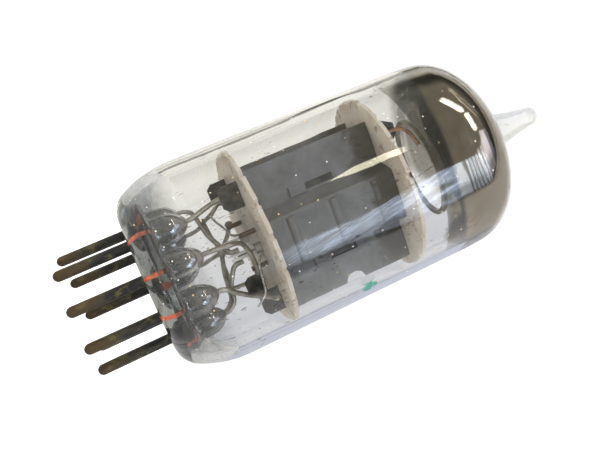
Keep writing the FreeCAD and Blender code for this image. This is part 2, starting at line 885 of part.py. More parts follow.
def make_getter_ring(doc, d):
    """The getter's channel, open upwards and a little tilted."""
    ring = new_body(doc, "getter_ring")
    tilt = Rotation(0, d.getter_pitch.value, d.getter_roll.value)
    ring.Placement = Placement(Vector(), tilt)
    bind(ring, Placement__Base__x=d.cage_shift, Placement__Base__z=d.getter_centre_height)
    sketch = sketch_on(ring, "XZ_Plane", "channel_outline")
    inner, outer = d.getter_radius - d.getter_width * 0.5, d.getter_radius + d.getter_width * 0.5
    low, high = -(d.getter_height * 0.5), d.getter_height * 0.5
    wall = d.getter_wall
    draw_outline(
        sketch,
        (inner, low),
        (outer, low),
        (outer, high),
        (outer - wall, high),
        (outer - wall, low + wall),
        (inner + wall, low + wall),
        (inner + wall, high),
        (inner, high),
    )
    checked(ring, revolve(ring, sketch), True)


def make_getter_holder(doc, d):
    """The plate that stands on the upper mica and the wire that carries the ring from it."""
    tag = new_body(doc, "getter_tag")
    plate = sketch_on(tag, "XZ_Plane", "tag_outline", d.system_offset)
    foot = d.upper_mica_base + d.mica_thickness * 2
    draw_outline(
        plate,
        (d.tag_left, foot),
        (d.tag_right, foot),
        (d.tag_right, d.tag_top - d.tag_chamfer),
        (d.tag_right - d.tag_chamfer, d.tag_top),
        (d.tag_left + d.tag_chamfer, d.tag_top),
        (d.tag_left, d.tag_top - d.tag_chamfer * 2),
    )
    extrude(tag, plate, d.sheet, reverse=True)
    face = -(d.system_offset + d.getter_support_radius).value
    wire_piece(
        doc,
        "getter_support",
        d.getter_support_radius,
        d.lead_bend,
        (-5.2, face, 26.6),
        (-5.1, face, d.tag_top.value),
        (-4.9, -3.4, 29.2),
        (-4.2, -3.75, 29.65),
        (-2.9, -4.25, 29.9),
    )


# ---------------------------------------------------------------- whole tube


def make_tube(doc, d):
    make_bulb(doc, d)
    make_exhaust_tip(doc, d)
    make_stem(doc, d)
    make_pins(doc, d)
    make_micas(doc, d)
    for name, turn, notch_side in (("front", 180, -1), ("rear", 0, 1)):
        make_anode_half(doc, d, f"anode_{name}_outer", 1, turn, notch_side)
        make_anode_half(doc, d, f"anode_{name}_inner", -1, turn, notch_side)
    make_system(doc, d, "front", -1)
    make_system(doc, d, "rear", 1)
    make_leads(doc, d)
    make_straps(doc, d)
    make_getter_ring(doc, d)
    make_getter_holder(doc, d)
    make_getter_flash(doc, d)


def write_parts(doc):
    doc.recompute()
    failed = [item.Label for item in doc.Objects if {"Invalid", "Error"} & set(item.State)]
    failed += [item.Label for item in SUB_PARTS if item.Shape.isNull() or not item.Shape.isValid()]
    if failed:
        raise RuntimeError(f"these objects failed: {failed}")
    os.makedirs("parts", exist_ok=True)
    for item in SUB_PARTS:
        item.Shape.exportStep(f"parts/{item.Label}.step")
        print(item.Label, len(item.Shape.Solids), round(item.Shape.Volume, 3))


document = FreeCAD.newDocument("double_triode")
make_tube(document, make_sheet(document))
write_parts(document)
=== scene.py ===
"""Looks for the miniature vacuum tube: glass, getter mirror, micas, metals, light and camera.

Everything is in metres in the row frame: the origin is at the underside of the glass stem, +Z runs along the
tube's axis to the exhaust tip, and the anode flanges lie along X.
"""

import json
import math
import random

import bmesh
import bpy
from mathutils import Matrix, Vector, noise


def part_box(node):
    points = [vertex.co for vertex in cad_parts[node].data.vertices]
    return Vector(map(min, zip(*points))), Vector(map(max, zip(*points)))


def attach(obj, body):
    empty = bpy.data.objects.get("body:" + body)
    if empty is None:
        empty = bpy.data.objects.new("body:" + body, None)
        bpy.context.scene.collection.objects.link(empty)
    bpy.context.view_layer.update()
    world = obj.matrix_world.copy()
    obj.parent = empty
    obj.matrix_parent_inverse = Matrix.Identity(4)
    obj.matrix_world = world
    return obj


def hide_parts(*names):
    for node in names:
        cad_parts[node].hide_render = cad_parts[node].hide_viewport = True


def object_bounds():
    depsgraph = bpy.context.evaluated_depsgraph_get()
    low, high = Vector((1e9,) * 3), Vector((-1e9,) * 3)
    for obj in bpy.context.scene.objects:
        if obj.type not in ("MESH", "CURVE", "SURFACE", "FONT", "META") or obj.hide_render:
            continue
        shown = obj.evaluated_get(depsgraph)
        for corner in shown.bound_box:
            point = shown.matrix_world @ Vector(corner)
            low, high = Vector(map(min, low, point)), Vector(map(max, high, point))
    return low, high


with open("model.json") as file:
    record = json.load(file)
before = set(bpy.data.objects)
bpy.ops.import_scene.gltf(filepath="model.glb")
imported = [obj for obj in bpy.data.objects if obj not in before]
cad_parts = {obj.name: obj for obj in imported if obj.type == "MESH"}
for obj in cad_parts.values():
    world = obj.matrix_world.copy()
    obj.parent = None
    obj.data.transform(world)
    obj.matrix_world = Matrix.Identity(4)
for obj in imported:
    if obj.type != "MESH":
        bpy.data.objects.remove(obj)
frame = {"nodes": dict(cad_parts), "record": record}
CAD_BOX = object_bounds()
NODES = frame["nodes"]
MOUNTS = {mount["name"]: mount for mount in frame["record"]["mounts"]}
MM = 0.001
BODY = "root"

# ------------------------------------------------------------------ sizes

# The frame gives the boxes. The rest repeats the CAD's own sizes or is set to look like the photograph.
BULB_LOW, BULB_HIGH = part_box("bulb")
BULB_RADIUS = BULB_HIGH.x
WALL = 0.95 * MM
DOME_TOP = 39.0 * MM
CROWN_RADIUS = 18.0 * MM
SHOULDER_RADIUS = 4.3 * MM
EASE_RADIUS = 40.0 * MM
EASE_ANGLE = math.radians(3.5)
DOME_THINNING = 0.33 * MM
THINNING_LOW = 17.0 * MM
THINNING_HIGH = 26.0 * MM

TIP_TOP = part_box("exhaust_tip")[1].z
TIP_ROOT_RADIUS = 2.9 * MM
TIP_FLANK_RADIUS = 30.0 * MM
TIP_END_RADIUS = 1.06 * MM
TIP_TAPER = math.radians(10.2)
BORE_RADIUS = 0.55 * MM

FOOT_RADIUS = 6.7 * MM
FOOT_ARC_RADIUS = 2.59 * MM
SEAL_RADIUS = 9.0 * MM
SEAL_HEIGHT = BULB_LOW.z
SKIRT_RADIUS = 11.3 * MM
STEM_FLOOR = 2.4 * MM
STEM_EDGE = 7.7 * MM
STEM_LIP = 0.3 * MM
MOUND_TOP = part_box("stem_button")[1].z
MOUND_HEIGHT = MOUND_TOP - STEM_FLOOR

FILM_GAP = 0.03 * MM
FILM_THICKNESS = 0.03 * MM
FILM_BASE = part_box("getter_flash")[0].z
FILM_BORE = 0.62 * MM
# The glass that can carry the film starts this far below the film's shell and stops this far from the axis.
FILM_RUN_OUT = 3.0 * MM
FILM_CLEARING = 0.6 * MM
# The film's edge lies where the tilted height reaches this.
FILM_EDGE = 32.4 * MM
FILM_TILT = (0.02, -0.22, 1.0)
PAINT_FLECK = Vector((0.70 * BULB_RADIUS, -0.71 * BULB_RADIUS, 19.0 * MM))

LATHE_STEPS = 224
MOUND_STEPS = 56
# An arc's radius is made this much larger, so that rounding can't leave it without a centre.
SLACK = 1.0001
# The glass body's material slots, after the clear glass in slot 0.
COATED, BEAD = 1, 2


# ------------------------------------------------------------------ mesh helpers


def arc_points(start, end, radius, turn, steps):
    """Points after start along the short arc to end. turn is 1 for a left turn and -1 for a right one."""
    start, end = Vector(start), Vector(end)
    chord = end - start
    reach = math.sqrt(radius**2 - (chord.length / 2) ** 2)
    normal = Vector((-chord.y, chord.x)).normalized() * turn
    centre = start + chord / 2 + normal * reach
    first = math.atan2(start.y - centre.y, start.x - centre.x)
    sweep = 2 * math.asin(chord.length / 2 / radius) * turn
    return [
        centre + Vector((math.cos(first + sweep * i / steps), math.sin(first + sweep * i / steps))) * radius
        for i in range(1, steps + 1)
    ]


def line_points(start, end, steps):
    """Points after start along the straight line to end."""
    start, end = Vector(start), Vector(end)
    return [start.lerp(end, i / steps) for i in range(1, steps + 1)]


def add_ring(bm, radius, z, steps, centre=(0.0, 0.0)):
    """A ring of vertices, or a single one where the radius is nothing."""
    x, y = centre
    if radius < 1e-7:
        return [bm.verts.new((x, y, z))]
    turns = [2 * math.pi * i / steps for i in range(steps)]
    return [bm.verts.new((x + radius * math.cos(a), y + radius * math.sin(a), z)) for a in turns]


def bridge(bm, lower, upper):
    """Faces between two rings. A ring of one vertex is a pole."""
    steps = max(len(lower), len(upper))
    for i in range(steps):
        j = (i + 1) % steps
        loop = [lower[i % len(lower)], lower[j % len(lower)], upper[j % len(upper)], upper[i % len(upper)]]
        corners = list(dict.fromkeys(loop))
        bm.faces.new(corners)


def lathe(bm, profile, steps, centre=(0.0, 0.0)):
    """Turns a profile of (radius, height) points, and returns its first and last rings."""
    rings = [add_ring(bm, point[0], point[1], steps, centre) for point in profile]
    for lower, upper in zip(rings, rings[1:]):
        bridge(bm, lower, upper)
    return rings[0], rings[-1]


def finished_mesh(name, bm, sharp_degrees=40.0, recalculate=True):
    """An object made from bm, shaded smooth except at edges sharper than sharp_degrees."""
    if recalculate:
        bmesh.ops.recalc_face_normals(bm, faces=bm.faces)
    mesh = bpy.data.meshes.new(name)
    bm.to_mesh(mesh)
    bm.free()
    mesh.shade_smooth()
    mesh.set_sharp_from_angle(angle=math.radians(sharp_degrees))
    piece = bpy.data.objects.new(name, mesh)
    bpy.context.scene.collection.objects.link(piece)
    return piece


def finish_piece(piece, material, slot, *replaced):
    """Gives a piece its material, hides the CAD nodes it replaces, and fixes it to the tube. The slot is not
    used.
    """
    piece.data.materials.append(material)
    if replaced:
        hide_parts(*replaced)
    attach(piece, BODY)
    return piece


# ------------------------------------------------------------------ glass envelope


def dome_points(depth, bore, shoulder_steps=18, crown_steps=12):
    """The dome's profile, depth inside the outer surface, from the top of the straight wall to the bore.

    The wall eases inwards on a wide arc, turns on the shoulder's arc and closes on the crown's arc.
    """
    crown_centre = Vector((0.0, DOME_TOP - CROWN_RADIUS))
    ease_side = Vector((math.cos(EASE_ANGLE), math.sin(EASE_ANGLE)))
    shoulder_x = BULB_RADIUS - EASE_RADIUS + (EASE_RADIUS - SHOULDER_RADIUS) * ease_side.x
    rise = math.sqrt((CROWN_RADIUS - SHOULDER_RADIUS) ** 2 - shoulder_x**2)
    shoulder_centre = Vector((shoulder_x, crown_centre.y + rise))
    ease_centre = shoulder_centre - ease_side * (EASE_RADIUS - SHOULDER_RADIUS)
    foot = Vector((BULB_RADIUS - depth, ease_centre.y))
    eased = ease_centre + ease_side * (EASE_RADIUS - depth)
    join = crown_centre + (shoulder_centre - crown_centre).normalized() * (CROWN_RADIUS - depth)
    points = [foot]
    points += arc_points(foot, eased, EASE_RADIUS - depth, 1, 8)
    points += arc_points(eased, join, SHOULDER_RADIUS - depth, 1, shoulder_steps)
    points += arc_points(join, (bore, crown_height(depth, bore)), CROWN_RADIUS - depth, 1, crown_steps)
    return points


def thinned(points):
    """Moves an inside profile outwards in the dome, where the glass is drawn thinner."""
    moved = []
    for before, point, after in zip(points[:1] + points, points, points[1:] + points[-1:]):
        share = min(1.0, max(0.0, (point.y - THINNING_LOW) / (THINNING_HIGH - THINNING_LOW)))
        along = (after - before).normalized()
        moved.append(point + Vector((along.y, -along.x)) * share * share * (3 - 2 * share) * DOME_THINNING)
    return moved


def crown_height(depth, radius):
    """The crown's height at a radius, depth inside its outer surface."""
    return DOME_TOP - CROWN_RADIUS + math.sqrt((CROWN_RADIUS - depth) ** 2 - radius**2)


def skirt_top():
    """Where the skirt's arc, which starts at the seal, meets the straight wall."""
    reach = SEAL_RADIUS - (BULB_RADIUS - SKIRT_RADIUS)
    return SEAL_HEIGHT + math.sqrt(SKIRT_RADIUS**2 - reach**2)


def outer_profile():
    """The outside surface, from the middle of the underside to the end of the tip."""
    ball_centre = Vector((0.0, TIP_TOP - TIP_END_RADIUS))
    neck = ball_centre + Vector((math.cos(TIP_TAPER), math.sin(TIP_TAPER))) * TIP_END_RADIUS
    points = [Vector((0.0, 0.0)), Vector((FOOT_RADIUS / 2, 0.0)), Vector((FOOT_RADIUS, 0.0))]
    points += arc_points(points[-1], (SEAL_RADIUS, SEAL_HEIGHT), FOOT_ARC_RADIUS, 1, 10)
    points += arc_points(points[-1], (BULB_RADIUS, skirt_top()), SKIRT_RADIUS, 1, 14)
    dome = dome_points(0.0, TIP_ROOT_RADIUS)
    points += line_points(points[-1], dome[0], 8) + dome[1:]
    points += arc_points(points[-1], neck, TIP_FLANK_RADIUS, -1, 24)
    points += arc_points(points[-1], (0.0, TIP_TOP), TIP_END_RADIUS * SLACK, 1, 14)
    points[-1].x = 0.0
    return points


def inner_profile():
    """The inside surface, from the floor of the stem up to the end of the tip's bore."""
    wall = BULB_RADIUS - WALL
    groove = SEAL_HEIGHT + 0.12 * MM
    start = Vector((STEM_EDGE - STEM_LIP, STEM_FLOOR))
    points = [start]
    points += arc_points(start, (STEM_EDGE, STEM_FLOOR - STEM_LIP), STEM_LIP * SLACK, -1, 5)
    points += line_points(points[-1], (STEM_EDGE + 0.1 * MM, groove), 2)
    inner_skirt = SKIRT_RADIUS - WALL
    centre_x = BULB_RADIUS - SKIRT_RADIUS
    rise = skirt_top() - groove
    seal = (centre_x + math.sqrt(inner_skirt**2 - rise**2), groove)
    points += line_points(points[-1], seal, 1)
    points += arc_points(seal, (wall, skirt_top()), inner_skirt, 1, 14)
    dome = dome_points(WALL, BORE_RADIUS)
    points += thinned(line_points(points[-1], dome[0], 24) + dome[1:])
    points += line_points(points[-1], (BORE_RADIUS * 0.8, DOME_TOP + 1.2 * MM), 3)
    points += line_points(points[-1], (0.0, DOME_TOP + 2.6 * MM), 4)
    points[-1].x = 0.0
    return points


def mound_profile():
    """A glass mound, from its fillet on the stem's floor to the collar round the lead."""
    root, body, collar = 1.74 * MM, 1.4 * MM, 0.42 * MM
    fillet, shoulder, crown = 0.6 * MM, 2.35 * MM, 1.6 * MM
    points = [Vector((root, STEM_FLOOR))]
    points += arc_points(points[-1], (body, STEM_FLOOR + 0.42 * MM), fillet, -1, 6)
    points += line_points(points[-1], (body * 0.985, STEM_FLOOR + MOUND_HEIGHT * 0.38), 2)
    points += arc_points(points[-1], (collar, MOUND_TOP - 0.08 * MM), shoulder, 1, 12)
    points += arc_points(points[-1], (0.0, MOUND_TOP), crown, 1, 3)
    points[-1].x = 0.0
    return points


def pin_places():
    """Pin centres in the row frame, in pin order."""
    return [Vector(MOUNTS[f"contact_pin_{k}"]["pos_m"][:2]) for k in range(1, 10)]


def hollow_mesh():
    """The inside surface of the glass, with its floor and mounds, facing the hollow."""
    bm = bmesh.new()
    floor_ring, _ = lathe(bm, inner_profile(), LATHE_STEPS)
    for face in bm.faces:
        middle = face.calc_center_median()
        if middle.z > FILM_BASE - FILM_RUN_OUT and middle.xy.length > FILM_CLEARING:
            face.material_index = COATED
    rims = [floor_ring]
    for place in pin_places():
        before = set(bm.faces)
        base, _ = lathe(bm, mound_profile(), MOUND_STEPS, place)
        for face in set(bm.faces) - before:
            face.material_index = BEAD
        rims.append(base)
    edges = [bm.edges.get(pair) for rim in rims for pair in zip(rim, rim[1:] + rim[:1])]
    bmesh.ops.triangle_fill(bm, edges=edges, use_beauty=True, use_dissolve=False)
    bmesh.ops.recalc_face_normals(bm, faces=bm.faces)
    bmesh.ops.reverse_faces(bm, faces=bm.faces)
    mesh = bpy.data.meshes.new("hollow")
    bm.to_mesh(mesh)
    bm.free()
    return mesh


def build_envelope():
    """The bulb, stem and tip as one closed glass body with its hollow inside."""
    bm = bmesh.new()
    lathe(bm, outer_profile(), LATHE_STEPS)
    bmesh.ops.recalc_face_normals(bm, faces=bm.faces)
    bm.from_mesh(hollow_mesh())
    piece = finished_mesh("glass_envelope", bm, recalculate=False)
    finish_piece(piece, glass_material(), "bulb_glass", "bulb", "exhaust_tip", "stem_button")
    piece.data.materials.append(coated_glass_material())
    piece.data.materials.append(bead_material())
    return piece


# ------------------------------------------------------------------ getter mirror


def build_getter_mirror():
    """The evaporated film under the dome: a thin shell with an uneven lower edge."""
    bm = bmesh.new()
    shells = []
    for depth in (WALL + FILM_GAP, WALL + FILM_GAP + FILM_THICKNESS):
        dome = dome_points(depth, FILM_BORE)
        foot = Vector((BULB_RADIUS - depth, FILM_BASE))
        profile = [foot] + line_points(foot, dome[0], 3) + dome[1:]
        shells.append(lathe(bm, thinned(profile), LATHE_STEPS))
    bridge(bm, shells[0][0], shells[1][0])
    bridge(bm, shells[0][1], shells[1][1])
    edge_band, unevenness, waves_per_metre = 1.6 * MM, 0.45 * MM, 220
    for vert in bm.verts:
        height = min(1.0, max(0.0, (vert.co.z - FILM_BASE) / edge_band))
        around = Vector((vert.co.x, vert.co.y, 0.0)) * waves_per_metre
        vert.co.z += (1.0 - height) * unevenness * noise.noise(around)
    piece = finished_mesh("getter_mirror", bm)
    return finish_piece(piece, mirror_material(), "getter_mirror", "getter_flash")


# ------------------------------------------------------------------ welds and flakes


WELDED_LEADS = (1, 2, 3, 6, 7, 8)
WELD_GREY = (0.34, 0.33, 0.31)
SPLINTERS_PER_MICA = 46


def blob(bm, centre, radii, seed, roughness=0.12):
    """A lumpy ball with the given radii along X, Y and Z."""
    made = bmesh.ops.create_icosphere(bm, subdivisions=3, radius=1.0)
    for vert in made["verts"]:
        bump = 1.0 + roughness * noise.noise(vert.co * 1.7 + Vector((seed, 0, 0)))
        stretched = Vector([part * radius for part, radius in zip(vert.co, radii)])
        vert.co = centre + stretched * bump


def build_welds():
    """A small squeezed nugget where each lead meets the electrode it is welded to."""
    bm = bmesh.new()
    below_end = Vector((0, 0, 0.25 * MM))
    radii = (0.3 * MM, 0.29 * MM, 0.42 * MM)
    for seed, number in enumerate(WELDED_LEADS):
        blob(bm, end_of_lead(number) - below_end, radii, seed)
    material = metal_material("weld", WELD_GREY, 0.38)
    return finish_piece(finished_mesh("lead_welds", bm), material, "lead_wire")


def end_of_lead(number):
    """The middle of the lead's upper end."""
    verts = [v.co for v in NODES[f"lead_{number}"].data.vertices]
    top = max(v.z for v in verts)
    end_band = 0.05 * MM
    near = [v for v in verts if v.z > top - end_band]
    return sum(near, Vector()) / len(near)


def build_mica_splinters(name, low, high, seed):
    """Thin flakes that have lifted from the rim of a mica."""
    rng = random.Random(seed)
    bm = bmesh.new()
    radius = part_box(f"{name}_top_sheet")[1].x
    thickness = 0.02 * MM
    for _ in range(SPLINTERS_PER_MICA):
        angle = rng.uniform(0, 2 * math.pi)
        width = rng.uniform(0.35, 1.3) * MM / radius
        reach = rng.uniform(-0.25, 0.12) * MM
        depth = rng.uniform(0.5, 1.4) * MM
        z = rng.uniform(low, high)
        lift = rng.uniform(-0.25, 0.25) * MM
        outline = []
        count = rng.randint(4, 7)
        for i in range(count):
            share = i / (count - 1)
            a = angle + (share - 0.5) * width
            r = radius + reach - abs(rng.gauss(0, 0.14)) * MM
            outline.append((r * math.cos(a), r * math.sin(a), z + lift))
        inner = radius - depth
        for a in (angle + width / 3, angle - width / 3):
            outline.append((inner * math.cos(a), inner * math.sin(a), z))
        lower = [bm.verts.new(p) for p in outline]
        upper = [bm.verts.new((p[0], p[1], p[2] + thickness)) for p in outline]
        bm.faces.new(lower)
        bm.faces.new(upper)
        bridge(bm, lower, upper)
    material = NODES[f"{name}_top_sheet"].active_material
    return finish_piece(finished_mesh(f"{name}_splinters", bm, 20), material, "mica")


# ------------------------------------------------------------------ materials


DUST_WHITE = (0.95, 0.93, 0.88)
DUST_GOLD = (0.85, 0.62, 0.28)
SCUFF_BLACK = (0.05, 0.05, 0.045)
PAINT_GREEN = (0.03, 0.26, 0.18)

GLASS_IOR = 1.5
GLASS_BODY = (0.50, 0.51, 0.47)
GLASS_DENSITY = 95.0
WALL_CLEAR = (0.985, 0.985, 0.98)
TIP_CLEAR = (1.0, 0.995, 0.97)
CLOUDY_TOP = 6.6 * MM
CLOUDY_BASE = 2.0 * MM

FILM_DARK = (0.42, 0.37, 0.30)
FILM_PALE = (0.52, 0.465, 0.39)
FILM_TINT = (0.70, 0.655, 0.57)
FILM_REFLECTANCE = 0.58

PIN_OLIVE = (0.135, 0.115, 0.04)
COPPER_DARK = (0.55, 0.08, 0.035)
COPPER_BRIGHT = (0.95, 0.22, 0.10)
# The brown-black that the anodes turn towards the upper mica.
TOP_END_BROWN = (0.045, 0.036, 0.026)
MICA_CRACK = (0.93, 0.92, 0.89)
MICA_STAIN = (0.24, 0.16, 0.10)
MICA_TINT = (0.96, 0.93, 0.88)

# Stops of colour ramps: (position, colour).
STEM_CLOUDS = ((0.34, (0.20, 0.21, 0.20)), (0.5, (0.46, 0.47, 0.46)), (0.68, (0.78, 0.78, 0.76)))
BEAD_CLOUDS = ((0.35, (0.02, 0.022, 0.028)), (0.6, (0.07, 0.074, 0.085)), (0.75, (0.17, 0.17, 0.17)))
PIN_TONES = (
    (0.38, (0.080, 0.050, 0.020)),
    (0.52, (0.062, 0.045, 0.022)),
    (0.68, (0.045, 0.040, 0.026)),
    (0.86, (0.014, 0.014, 0.014)),
)
CARBON_CLOUDS = ((0.3, (0.098, 0.10, 0.102)), (0.55, (0.148, 0.153, 0.158)), (0.75, (0.21, 0.217, 0.228)))
TAB_TONES = ((0.35, (0.02, 0.021, 0.022)), (0.55, (0.06, 0.058, 0.055)), (0.72, (0.13, 0.1, 0.075)))
MICA_CLOUDS = ((0.3, (0.72, 0.65, 0.56)), (0.55, (0.88, 0.835, 0.76)), (0.75, (0.90, 0.88, 0.84)))


class Nodes:
    """A short way to build a material's or a world's node tree."""

    def __init__(self, tree):
        self.tree = tree
        tree.nodes.clear()

    def add(self, kind, inputs=None, **settings):
        node = self.tree.nodes.new(kind)
        for name, value in settings.items():
            setattr(node, name, value)
        for name, value in (inputs or {}).items():
            socket = node.inputs[name]
            if isinstance(value, bpy.types.NodeSocket):
                self.tree.links.new(value, socket)
            else:
                socket.default_value = value
        return node

    def link(self, source, target):
        self.tree.links.new(source, target)

    def math(self, operation, a, b=0.0):
        return self.add("ShaderNodeMath", {0: a, 1: b}, operation=operation).outputs[0]

    def times(self, a, b):
        return self.math("MULTIPLY", a, b)

    def plus(self, a, b):
        return self.math("ADD", a, b)

    def minus(self, a, b):
        return self.math("SUBTRACT", a, b)

    def smooth(self, value, low, high):
        """0 below low, 1 above high, and smooth between them."""
        node = self.add("ShaderNodeMapRange", {0: value, 1: low, 2: high}, interpolation_type="SMOOTHSTEP")
        return node.outputs[0]

    def noise(self, vector, scale, detail=4.0, roughness=0.55, distortion=0.0):
        inputs = {
            "Vector": vector,
            "Scale": scale,
            "Detail": detail,
            "Roughness": roughness,
            "Distortion": distortion,
        }
        return self.add("ShaderNodeTexNoise", inputs).outputs["Fac"]

    def place(self):
        """The point's position in the row frame."""
        return self.add("ShaderNodeNewGeometry").outputs["Position"]

    def stretch(self, vector, scale):
        return self.add("ShaderNodeMapping", {"Vector": vector, "Scale": scale}).outputs[0]

    def split(self, vector):
        return self.add("ShaderNodeSeparateXYZ", {0: vector}).outputs

    def ramp(self, value, *stops):
        """A colour ramp through stops of (position, colour)."""
        node = self.add("ShaderNodeValToRGB", {0: value})
        elements = node.color_ramp.elements
        while len(elements) < len(stops):
            elements.new(0.5)
        for element, (position, colour) in zip(elements, stops):
            element.position = position
            element.color = (*colour, 1.0)
        return node.outputs[0]

    def mix(self, factor, a, b):
        """Colour a where the factor is 0, and b where it is 1."""
        node = self.add("ShaderNodeMix", {0: factor}, data_type="RGBA")
        for socket, value in ((node.inputs[6], a), (node.inputs[7], b)):
            if isinstance(value, bpy.types.NodeSocket):
                self.link(value, socket)
            else:
                socket.default_value = (*value, 1.0)
        return node.outputs[2]

    def bump(self, height, strength, distance):
        node = self.add("ShaderNodeBump", {"Height": height, "Strength": strength, "Distance": distance})
        return node.outputs[0]

    def transparent(self, *tint):
        """Lets light straight through, tinted if a colour is given."""
        inputs = {"Color": (*tint, 1.0)} if tint else None
        return self.add("ShaderNodeBsdfTransparent", inputs).outputs[0]

    def blend(self, factor, a, b):
        """Shader a where the factor is 0, and b where it is 1."""
        return self.add("ShaderNodeMixShader", {0: factor, 1: a, 2: b}).outputs[0]

    def dot(self, vector, other):
        node = self.add("ShaderNodeVectorMath", {0: vector, 1: other}, operation="DOT_PRODUCT")
        return node.outputs["Value"]


def new_material(name):
    """A new material, its node builder and the sockets of its output."""
    material = bpy.data.materials.new(name)
    material.use_nodes = True
    nodes = Nodes(material.node_tree)
    output = nodes.add("ShaderNodeOutputMaterial")
    return material, nodes, output.inputs


def slope(nodes, value, origin, rate):
    """(value - origin) * rate."""
    return nodes.times(nodes.minus(value, origin), rate)


def speck_mask(nodes, place, scale, size, share):
    """Round specks, one in each of a share of the cells, and a random tone for each."""
    cells = nodes.add("ShaderNodeTexVoronoi", {"Vector": place, "Scale": scale, "Randomness": 1.0}).outputs
    pick, tone, _ = nodes.split(cells["Color"])
    dot = nodes.smooth(cells["Distance"], size, size * 0.55)
    return nodes.times(dot, nodes.math("LESS_THAN", pick, share)), tone


def dust_parts(nodes, place):
    """White and gold specks, dark scuffs and one fleck of green paint, which glow a little as a painted
    glint, and how much of them there is.
    """
    fine, tone = speck_mask(nodes, place, 1150.0, 0.10, 0.40)
    large, _ = speck_mask(nodes, place, 330.0, 0.055, 0.30)
    specks = nodes.times(nodes.math("MAXIMUM", fine, large), 0.85)
    dashes = nodes.smooth(nodes.noise(nodes.stretch(place, (3600, 3600, 1100)), 1.0, 2.0), 0.66, 0.70)
    worn = nodes.smooth(nodes.noise(nodes.stretch(place, (150, 150, 80)), 1.0, 2.0), 0.52, 0.6)
    scuffs = nodes.times(nodes.times(dashes, worn), 0.6)
    away = nodes.add("ShaderNodeVectorMath", {0: place, 1: PAINT_FLECK}, operation="DISTANCE")
    wander = slope(nodes, nodes.noise(place, 1300, 4.0, 0.6), 0.5, 2.6 * MM)
    ragged = nodes.plus(away.outputs["Value"], wander)
    paint = nodes.times(nodes.smooth(ragged, 0.85 * MM, 0.7 * MM), 0.75)
    colour = nodes.ramp(tone, (0.45, DUST_WHITE), (0.6, DUST_GOLD))
    colour = nodes.mix(nodes.math("GREATER_THAN", scuffs, specks), colour, SCUFF_BLACK)
    colour = nodes.mix(nodes.math("GREATER_THAN", paint, specks), colour, PAINT_GREEN)
    dust = nodes.add("ShaderNodeBsdfDiffuse", {"Color": colour})
    # Painted glint: the specks and the paint fleck glow a little in their own colour, so they stay bright
    # whatever light falls on them.
    painted_glint = nodes.add("ShaderNodeEmission", {"Color": colour, "Strength": 0.35})
    lit = nodes.add("ShaderNodeAddShader", {0: dust.outputs[0], 1: painted_glint.outputs[0]})
    return lit.outputs[0], nodes.math("MAXIMUM", specks, nodes.math("MAXIMUM", scuffs, paint))


def glass_parts(nodes, rippled=0.16):
    """The clear glass shader: wavy, dusty, and cloudy, rippled and grey-green towards the stem."""
    place = nodes.place()
    height = nodes.split(place)[2]
    waves = nodes.noise(nodes.stretch(place, (260, 260, 90)), 1.0, 3.0)
    low = nodes.smooth(height, CLOUDY_TOP, CLOUDY_BASE)
    ripples = nodes.times(nodes.noise(place, 330, 2.0, 0.5, 0.8), nodes.times(low, rippled))
    relief = nodes.plus(nodes.times(waves, 0.16), ripples)
    clouds = nodes.noise(nodes.stretch(place, (420, 420, 900)), 1.0, 5.0, 0.62, 0.6)
    stem_tone = nodes.ramp(clouds, *STEM_CLOUDS)
    clear_tone = nodes.mix(nodes.smooth(height, DOME_TOP, DOME_TOP + 0.8 * MM), WALL_CLEAR, TIP_CLEAR)
    colour = nodes.mix(nodes.times(low, 0.85), clear_tone, stem_tone)
    glass = nodes.add(
        "ShaderNodeBsdfPrincipled",
        {
            "Base Color": colour,
            "Roughness": 0.0,
            "IOR": GLASS_IOR,
            "Transmission Weight": 1.0,
            "Normal": nodes.bump(relief, 0.5, 0.2 * MM),
        },
    )
    dust, amount = dust_parts(nodes, place)
    return nodes.blend(amount, glass.outputs[0], dust)


def film_parts(nodes):
    """The getter film's shader and how much of it there is, with an uneven edge and fine mottling."""
    place = nodes.place()
    across, depth, _ = nodes.split(place)
    wander = nodes.times(nodes.noise(place, 260, 3.0), 0.5 * MM)
    level = nodes.plus(nodes.dot(place, FILM_TILT), wander)
    softer = nodes.times(nodes.smooth(depth, -8.0 * MM, 8.0 * MM), 0.5 * MM)
    softness = nodes.plus(0.35 * MM, softer)
    bare = nodes.times(nodes.smooth(across, 1.0 * MM, 6.0 * MM), nodes.smooth(depth, 0.0, 5.0 * MM))
    level = nodes.minus(level, nodes.times(bare, 2.6 * MM))
    above = nodes.minus(level, FILM_EDGE)
    edge = nodes.smooth(above, nodes.times(softness, -1.0), softness)
    thickness = nodes.plus(0.8, nodes.times(nodes.smooth(above, 0.0, 4.5 * MM), 0.2))
    cover = nodes.times(edge, thickness)
    mottle = nodes.noise(place, 700, 4.0)
    colour = nodes.ramp(mottle, (0.3, FILM_DARK), (0.7, FILM_PALE))
    inputs = {"Base Color": colour, "Metallic": 1.0, "Roughness": 0.01}
    film = nodes.add("ShaderNodeBsdfPrincipled", inputs)
    body = nodes.blend(FILM_REFLECTANCE, nodes.transparent(*FILM_TINT), film.outputs[0])
    return body, cover


def light_passes(nodes, shader, tint):
    """Lets shadow and diffuse rays go straight through, so that what is inside the glass is lit."""
    path = nodes.add("ShaderNodeLightPath").outputs
    through = nodes.math("MAXIMUM", path["Is Shadow Ray"], path["Is Diffuse Ray"])
    return nodes.blend(through, shader, nodes.transparent(*tint))


def absorbing(nodes):
    """A grey-green absorption that shows where the glass is thick."""
    inputs = {"Color": (*GLASS_BODY, 1.0), "Density": GLASS_DENSITY}
    return nodes.add("ShaderNodeVolumeAbsorption", inputs).outputs[0]


def finish_glass(material, nodes, out, shader, passed):
    """Links a glass shader that passes light tinted by passed, and the absorption inside the glass."""
    nodes.link(light_passes(nodes, shader, passed), out["Surface"])
    nodes.link(absorbing(nodes), out["Volume"])
    return material


